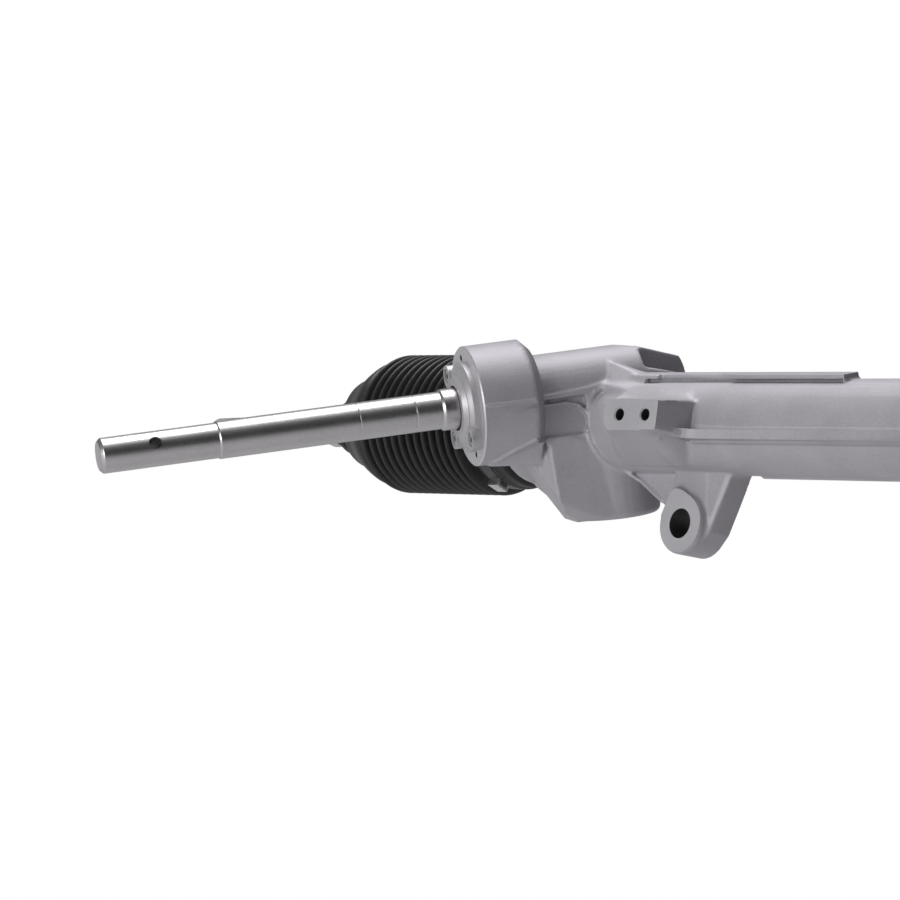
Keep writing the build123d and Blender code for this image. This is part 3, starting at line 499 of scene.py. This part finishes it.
bm = modified(bm, ("REMESH", {"mode": "VOXEL", "voxel_size": voxel}),
              ("SMOOTH", {"factor": 0.5, "iterations": 6}))
snap_to_cylinder(bm, along_x, tube_radius, tube_start, tube_end)
snap_to_cylinder(bm, pinion_local, tower_radius, 36, 70)

# Cuts with crisp edges: the fin's three sides, the bevel under the tower and the groove beside the rib,
# then what is machined, which is the pad, the tower's rim, the lug faces and every hole.
beyond = 6
fin_corner = [(pad_end, -32.5), (pad_end + 3.5, -28), (pad_end + 9, fin_front), (fin_end, fin_front),
              (fin_end, -48), (pad_end, -48)]
round_fin = [block((pad_end, -44, fin_top), (fin_end, -21.4, 11), upright),
             block((pad_end, -44, fin_bottom - 5), (fin_end, -21.4, fin_bottom), upright)]
ahead_of_fin = [hull([(x, y, z) for x, y in fin_corner for z in (fin_bottom - 6, 12)], upright)]
tower_bevel = part_ring([(30, 40.2), (23.4, tower_start), (23.4, 33.2), (30, 33.2)], 47, 151, pinion_local)
beside_rib = block((37, -9.5, 20.3), (rib_end - 0.4, -3.4, 22.2), Matrix())
rim = turned([(30, tower_end - 3.6), (25.4, tower_end + 1), (30, tower_end + 1)], pinion_local, 128)
faces = [block((40, pad_face - beyond, -14), (84, pad_face, 12), upright),
         block((-40, -40, tower_end), (40, 40, tower_end + beyond), pinion_local)]
holes = [drill(cover_bore_radius, tower_end - cover_bore_depth, tower_end + 1, pinion_local, 96)]
for lug_x, inwards in lugs:
    faces += [block((lug_x - 30, -lug_face - beyond, -62), (lug_x + 30, -lug_face, -26), upright),
              block((lug_x - 34, lug_face, -62), (lug_x + 34, lug_face + beyond, -22), upright)]
    bore_place = Matrix.Translation(upright @ Vector((lug_x, 0, lug_bore_height))) @ across_rack
    holes.append(drill(lug_bore_radius, -20, 20, bore_place))
sinks = []
for step in range(2):
    hole = upright @ Vector((pad_hole_x + pad_hole_pitch * step, pad_face, pad_middle))
    hole_place = Matrix.Translation(hole) @ into_pad
    holes.append(drill(pad_hole_radius, -4, pad_hole_depth, hole_place, 40))
    sinks.append(drill(sink_radius, -4, sink_depth, hole_place, 40))
for turn in dowel_turns:
    hole_place = pinion_local @ Matrix.Rotation(radians(turn), 4, "Z")
    hole_place = hole_place @ Matrix.Translation((dowel_circle, 0, 0))
    holes.append(drill(dowel_radius, tower_end - dowel_depth, tower_end + 1, hole_place, 32))
# The bevel and the groove take the painted shade of the darker aluminium, and the holes take the near-black
# painted shade.
bm = machined(bm, (cast, round_fin), (cast, ahead_of_fin), (painted_shade, [tower_bevel, beside_rib]),
              (milled, faces), (milled, [rim] + sinks), (bored, holes))
bmesh.ops.recalc_face_normals(bm, faces=bm.faces)
bmesh.ops.transform(bm, matrix=rack_place, verts=bm.verts)
casting = show("housing_casting", bm, "housing", casting_looks, 38, flat=milled)
triangle_budget = 190000
thinner = casting.modifiers.new("thinner", "DECIMATE")
thinner.ratio = min(1.0, triangle_budget / (2 * len(casting.data.polygons)))
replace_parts(casting, "housing")


# Pinion cover. A small cast cover with three ears closes the tower and holds the shaft seal; its socket
# screws sit in recesses of the ears. The plug and lock ring behind the yoke are plated like the screws.
cover_aluminium = finish_material("pressed aluminium", (0.40, 0.39, 0.41), (0.52, 0.51, 0.53), 0.55,
                                  (0.36, 0.48), 1800, 0.2)
plated_steel = finish_material("zinc plated steel", (0.36, 0.36, 0.37), (0.52, 0.52, 0.53), 0.9,
                               (0.3, 0.42), 2200, 0.1)
for node, body, material, slot in (("pinion_cover", "housing", cover_aluminium, "cover_metal"),
                                   ("cover_screws", "housing", plated_steel, "zinc_steel"),
                                   ("yoke_plug", "housing", plated_steel, "zinc_steel"),
                                   ("yoke_lock_ring", "housing", plated_steel, "zinc_steel")):
    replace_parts(show(node + "_metal", copied(node), body, [material]), node)


# Pinion shaft. Turned and ground steel: a collar and a seat for the bearing, a bright ground journal
# under the seal, two scribed rings, and a reduced end with a cross hole for the column joint's bolt.
collar_start, collar_end, collar_radius = 43.0, 46, 12.2
seat_radius, seat_end, seal_radius, seal_end = 10, 53.05, 9.3, 75
shaft_radius, reduced_start, reduced_radius, input_end = 8.4, 177.5, 7.9, 231.5
scribed_rings, scribe_depth = (88, 114), 0.13
cross_hole_radius, cross_hole_place, cross_hole_turn = 2.85, 206.8, radians(26)


def eased(points, radius, steps):
    """A closed outline with its corners rounded off a little, and held by a point on each side."""
    softened = []
    for index, corner in enumerate(points):
        corner = Vector(corner)
        before = Vector(points[index - 1]) - corner
        after = Vector(points[(index + 1) % len(points)]) - corner
        if corner.x == 0:
            softened.append(corner)
            continue
        start = corner + before.normalized() * min(radius, before.length / 2.5)
        end = corner + after.normalized() * min(radius, after.length / 2.5)
        if before.length > 6 * radius:
            softened.append(corner + before.normalized() * 2.5 * radius)
        for step in range(steps + 1):
            share = step / steps
            softened.append((1 - share) ** 2 * start + 2 * share * (1 - share) * corner + share ** 2 * end)
        if after.length > 6 * radius:
            softened.append(corner + after.normalized() * 2.5 * radius)
    return softened


def turned_steel(name, dark, light, roughness, axes):
    """Steel with fine turning lines round a piece whose axis is local Z of the given axes."""
    material = finish_material(name, dark, light, 1.0, roughness, 900, 0)
    tree = material.node_tree
    surface = tree.nodes["Principled BSDF"]
    axis = (axes.to_3x3() @ Vector((0, 0, 1))).normalized()
    place = new_node(tree, "ShaderNodeTexCoord")
    along = new_node(tree, "ShaderNodeVectorMath", {1: axis}, operation="DOT_PRODUCT")
    tree.links.new(place.outputs["Object"], along.inputs[0])
    rings = new_node(tree, "ShaderNodeTexNoise", noise_dimensions="1D")
    rings.inputs["Scale"].default_value = 2400
    rings.inputs["Detail"].default_value = 5
    tree.links.new(along.outputs["Value"], rings.inputs["W"])
    relief = new_node(tree, "ShaderNodeBump", {"Strength": 0.25, "Distance": 0.00006})
    tree.links.new(rings.outputs["Fac"], relief.inputs["Height"])
    tree.links.new(relief.outputs["Normal"], surface.inputs["Normal"])
    return material


shaft_steel = turned_steel("ground shaft steel", (0.50, 0.485, 0.50), (0.56, 0.545, 0.56), (0.27, 0.34),
                           pinion_place)
outline = [(0, collar_start), (collar_radius, collar_start), (collar_radius, collar_end),
           (seat_radius, collar_end), (seat_radius, seat_end), (seal_radius, seat_end),
           (seal_radius, 54.6), (seat_radius, 54.6), (seat_radius, 56.4), (seal_radius, 57),
           (seal_radius, seal_end), (shaft_radius, seal_end + 1)]
for ring in scribed_rings:
    scribed_radius = shaft_radius - scribe_depth
    outline += [(shaft_radius, ring - 0.3), (scribed_radius, ring - 0.1), (scribed_radius, ring + 0.1),
                (shaft_radius, ring + 0.3)]
outline += [(shaft_radius, reduced_start), (reduced_radius, reduced_start + 0.5),
            (reduced_radius, input_end - 1.5), (reduced_radius - 1.5, input_end), (0, input_end)]
bm = turned(eased(outline, 0.2, 2), Matrix())
across_shaft = Matrix.Rotation(cross_hole_turn, 4, "Z") @ Matrix.Rotation(radians(90), 4, "X")
hole_place = Matrix.Translation((0, 0, cross_hole_place)) @ across_shaft
bm = machined(bm, (1, [drill(cross_hole_radius, -15, 15, hole_place, 48)]))
bmesh.ops.transform(bm, matrix=pinion_place, verts=bm.verts)
teeth = copied("pinion_shaft")
bmesh.ops.bisect_plane(teeth, geom=list(teeth.verts) + list(teeth.edges) + list(teeth.faces), dist=1e-7,
                       plane_co=pinion_place @ Vector((0, 0, collar_start + 0.5)),
                       plane_no=pinion_place.to_3x3() @ Vector((0, 0, 1)), clear_outer=True)
bmesh.ops.holes_fill(teeth, edges=[e for e in teeth.edges if e.is_boundary])
shaft = show("pinion_and_input_shaft", join(bm, teeth), "pinion", [shaft_steel, painted_shade_bore], 30,
             flat=1)
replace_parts(shaft, "pinion_shaft")


# Boots. Moulded rubber bellows: a thick cuff clamped on the housing, thirteen soft folds, then a long
# cone down to a small cuff on the tie rod.
boot_rubber = finish_material("boot rubber", (0.009, 0.0088, 0.010), (0.019, 0.0185, 0.021), 0.0,
                              (0.36, 0.5), 700, 0.2)
boot_rubber.node_tree.nodes["Principled BSDF"].inputs["Sheen Weight"].default_value = 0.05
ridge_radius, valley_radius, wall = 32.5, 25.6, 1.2
cuff_seat, cuff_wall, cuff_start = 26.0, 2.6, -16.5
folds_start, fold_count, cone_length, cone_past_ball = 4.5, 13, 38.0, 45
small_cuff_start, small_cuff_end, rod_droop = 52.0, 64.0, radians(1.8)


def fold_line(start, length, inset):
    """The wavy line of the folds: broad rounded ridges with narrow valleys between them."""
    pitch = length / fold_count
    shape = ((0.0, 0.0), (0.08, 0.10), (0.20, 0.45), (0.31, 0.80), (0.40, 0.96), (0.50, 1.0), (0.60, 0.96),
             (0.69, 0.80), (0.80, 0.45), (0.92, 0.10))
    points = []
    for fold in range(fold_count):
        for share, rise in shape:
            radius = valley_radius - inset + (ridge_radius - valley_radius) * rise
            points.append(Vector((radius, start + (fold + share) * pitch)))
    return points + [Vector((valley_radius - inset, start + length))]


def rod_place(ball_x, outwards):
    """Axes of a tie rod: origin at its ball, local Z outwards and drooping a little at rest."""
    away = Vector((outwards * cos(rod_droop), 0, -sin(rod_droop)))
    across = Vector((0, 0, -1)).cross(away).normalized()
    turn = Matrix((across, away.cross(across), away)).transposed().to_4x4()
    return Matrix.Translation((ball_x, 0, rack_height)) @ turn @ millimetre


sides = (("left", -1, -0.128, -0.197), ("right", 1, 0.334, 0.463))
for side, outwards, seat_x, ball_x in sides:
    seat_to_ball = abs(ball_x - seat_x) * 1000
    folds_length = seat_to_ball + cone_past_ball - cone_length - folds_start
    folds_end = folds_start + folds_length
    axes = Matrix(((0, 0, outwards), (0, 1, 0), (-outwards, 0, 0))).to_4x4()
    seat_place = Matrix.Translation((seat_x, 0, rack_height)) @ Matrix.Rotation(rack_tilt, 4, "X") @ axes
    seat_place = seat_place @ millimetre
    outer, bead_rise = cuff_seat + cuff_wall, 0.5
    outside = [(outer - 0.4, cuff_start), (outer, cuff_start + 0.6), (outer, -10.2),
               (outer + bead_rise, -9.9), (outer + bead_rise, -9.1), (outer, -8.8), (outer, -1.7),
               (outer + bead_rise, -1.4), (outer + bead_rise, -0.6), (outer, 0.2), (outer - 0.6, 2.2)]
    inside = [(cuff_seat - 0.95, cuff_start), (cuff_seat - 0.95, -4.2), (cuff_seat + 0.05, -3.2),
              (cuff_seat + 0.05, 0.1), (valley_radius - wall, 0.1)]
    outline = [Vector(p) for p in outside] + fold_line(folds_start, folds_length, 0)
    outline += fold_line(folds_start, folds_length, wall)[::-1] + [Vector(p) for p in inside[::-1]]
    bm = turned(outline, seat_place, 112)
    folds = show(side + "_boot_folds", bm, None, [boot_rubber], 60)
    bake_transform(folds)
    cone = [(valley_radius, 0), (28.6, 1.2), (30.2, 3.0), (29.6, 6), (27.6, 10.5), (24.4, 16.5), (22.2, 21.5),
            (21.6, 24.5), (19.4, 26.4), (15.6, 32), (11.8, cone_length)]
    cone = [Vector((radius, folds_end + place)) for radius, place in cone]
    outline = cone + [p - Vector((wall, 0)) for p in cone[::-1]]
    bm = turned(outline, seat_place, 112)
    cuff = [(7.6, 43.6), (13.4, 43.6), (13.8, 44.4), (13.6, 46.0), (8.9, 47.6), (8.6, 48.6), (8.6, 53.6),
            (9.0, 53.9), (9.0, 54.4), (8.6, 54.7), (8.6, 61.6), (9.0, 61.9), (9.0, 62.6),
            (8.6, small_cuff_end), (6.55, small_cuff_end), (6.55, small_cuff_start), (7.6, 50)]
    bm = join(bm, turned(cuff, rod_place(ball_x, outwards), 96))
    cone_piece = show(side + "_boot_cone", bm, None, [boot_rubber], 60)
    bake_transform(cone_piece)
    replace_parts(folds, side + "_boot")
    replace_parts(cone_piece, side + "_boot")


# Clamps. Stainless ear clamps: a narrow band round each cuff, pinched shut at a folded ear. The large
# bands' outer faces get a near-black colour, a painted shadow of the boots, while their edges and ears keep
# the bright steel.
bare_clamp = finish_material("stainless band edge", (0.56, 0.56, 0.57), (0.70, 0.70, 0.71), 1.0,
                             (0.24, 0.36), 1500, 0.08)
painted_shadow_band = finish_material("band with painted shadow", (0.060, 0.060, 0.064), (0.11, 0.11, 0.115), 0.9,
                             (0.28, 0.4), 1500, 0.08)
band_outside = 0.0296
for side, outwards, seat_x, ball_x in sides:
    seat_middle = Vector((seat_x, 0, rack_height))
    for node, body in ((side + "_large_clamp", "housing"), (side + "_small_clamp", side + "_tie_rod")):
        bm = copied(node)
        for face in bm.faces:
            away = face.calc_center_median() - seat_middle
            on_band = hypot(away.y, away.z) < band_outside and abs(face.normal.x) < 0.7
            # The outer faces of the large bands take the painted shadow of the boots.
            face.material_index = 1 if on_band and "large" in node else 0
        band = show(node + "_band", bm, body, [bare_clamp, painted_shadow_band])
        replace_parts(band, node)


# Tie rods and inner ball joints. Forged steel rods with a ball at one end and a rolled thread at the
# other, held in turned sockets that are screwed into the rack's ends.
rod_steel = finish_material("forged rod steel", (0.17, 0.168, 0.172), (0.28, 0.275, 0.28), 0.85,
                            (0.38, 0.5), 900, 0.2)
rod_radius, neck_radius, core_radius, thread_radius = 7, 6.5, 6.2, 6.68
ball_radius, rod_end, thread_start, thread_turns, thread_pitch, turn_steps = 12, 155, 104.6, 32, 1.5, 28
for side, outwards, seat_x, ball_x in sides:
    place = rod_place(ball_x, outwards)
    outline = [(0, 10), (core_radius, 10), (core_radius, 18), (rod_radius, 24), (rod_radius, 51),
               (neck_radius, 51), (neck_radius, 65), (rod_radius, 65), (rod_radius, 103),
               (core_radius, 103.6), (core_radius, rod_end - 1.4), (5, rod_end), (0, rod_end)]
    bm = turned(eased(outline, 0.3, 2), place, 48)
    thread = bmesh.new()
    ridge = []
    for radius, height in ((6.1, -0.62), (thread_radius, -0.1), (thread_radius, 0.1), (6.1, 0.62)):
        ridge.append(thread.verts.new((radius, 0, height)))
    loop = [thread.edges.new((ridge[i - 1], ridge[i])) for i in range(4)]
    bmesh.ops.spin(thread, geom=ridge + loop, cent=(0, 0, 0), axis=(0, 0, 1), angle=2 * pi * thread_turns,
                   steps=turn_steps * thread_turns, dvec=(0, 0, thread_pitch / turn_steps))
    bmesh.ops.holes_fill(thread, edges=[e for e in thread.edges if e.is_boundary])
    bmesh.ops.recalc_face_normals(thread, faces=thread.faces)
    bmesh.ops.transform(thread, matrix=place @ Matrix.Translation((0, 0, thread_start)), verts=thread.verts)
    bm = join(bm, thread)
    ball = bmesh.new()
    bmesh.ops.create_uvsphere(ball, u_segments=48, v_segments=24, radius=ball_radius)
    bmesh.ops.transform(ball, matrix=place, verts=ball.verts)
    rod = show(side + "_tie_rod_steel", join(bm, ball), side + "_tie_rod", [rod_steel], 40)
    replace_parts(rod, side + "_tie_rod")


# Inner pieces. What the housing and boots hide keeps its CAD shape and gets its own finish: the rack
# bar with its teeth, the bearing, the yoke with its liner and spring, the bushes and the sockets.
ground_steel = turned_steel("ground rack steel", (0.46, 0.45, 0.46), (0.58, 0.57, 0.58), (0.22, 0.32),
                            along_x)
bearing_steel = finish_material("bearing steel", (0.60, 0.60, 0.61), (0.70, 0.70, 0.71), 1.0,
                                (0.12, 0.2), 1200, 0.04)
dark_steel = finish_material("oiled spring steel", (0.05, 0.05, 0.052), (0.10, 0.10, 0.105), 0.9,
                             (0.3, 0.45), 900, 0.15)
bush_bronze = finish_material("sintered bronze", (0.30, 0.19, 0.07), (0.44, 0.29, 0.12), 0.9,
                              (0.35, 0.5), 1600, 0.25)
yoke_aluminium = finish_material("machined yoke aluminium", (0.48, 0.48, 0.49), (0.58, 0.58, 0.59), 0.8,
                                 (0.28, 0.4), 1400, 0.1)
pale_plastic = finish_material("pale acetal", (0.62, 0.58, 0.48), (0.70, 0.66, 0.56), 0.0,
                               (0.35, 0.48), 900, 0.08)
seal_rubber = finish_material("seal rubber", (0.010, 0.010, 0.011), (0.022, 0.022, 0.023), 0.0,
                              (0.4, 0.55), 900, 0.15)
inner_finishes = {
    "rack_bar": ground_steel,
    "rack_bush": pale_plastic,
    "pinion_seal": seal_rubber,
    "bearing_outer_ring": bearing_steel,
    "bearing_inner_ring": bearing_steel,
    "bearing_balls": bearing_steel,
    "bearing_snap_ring": dark_steel,
    "shaft_circlip": dark_steel,
    "pinion_lower_bush": bush_bronze,
    "yoke": yoke_aluminium,
    "yoke_liner": pale_plastic,
    "yoke_o_ring": seal_rubber,
    "yoke_spring": dark_steel,
    "left_ball_socket": plated_steel,
    "right_ball_socket": plated_steel,
    "left_ball_seat": pale_plastic,
    "right_ball_seat": pale_plastic,
}
for node, material in inner_finishes.items():
    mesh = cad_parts[node].data
    mesh.materials.clear()
    mesh.materials.append(material)
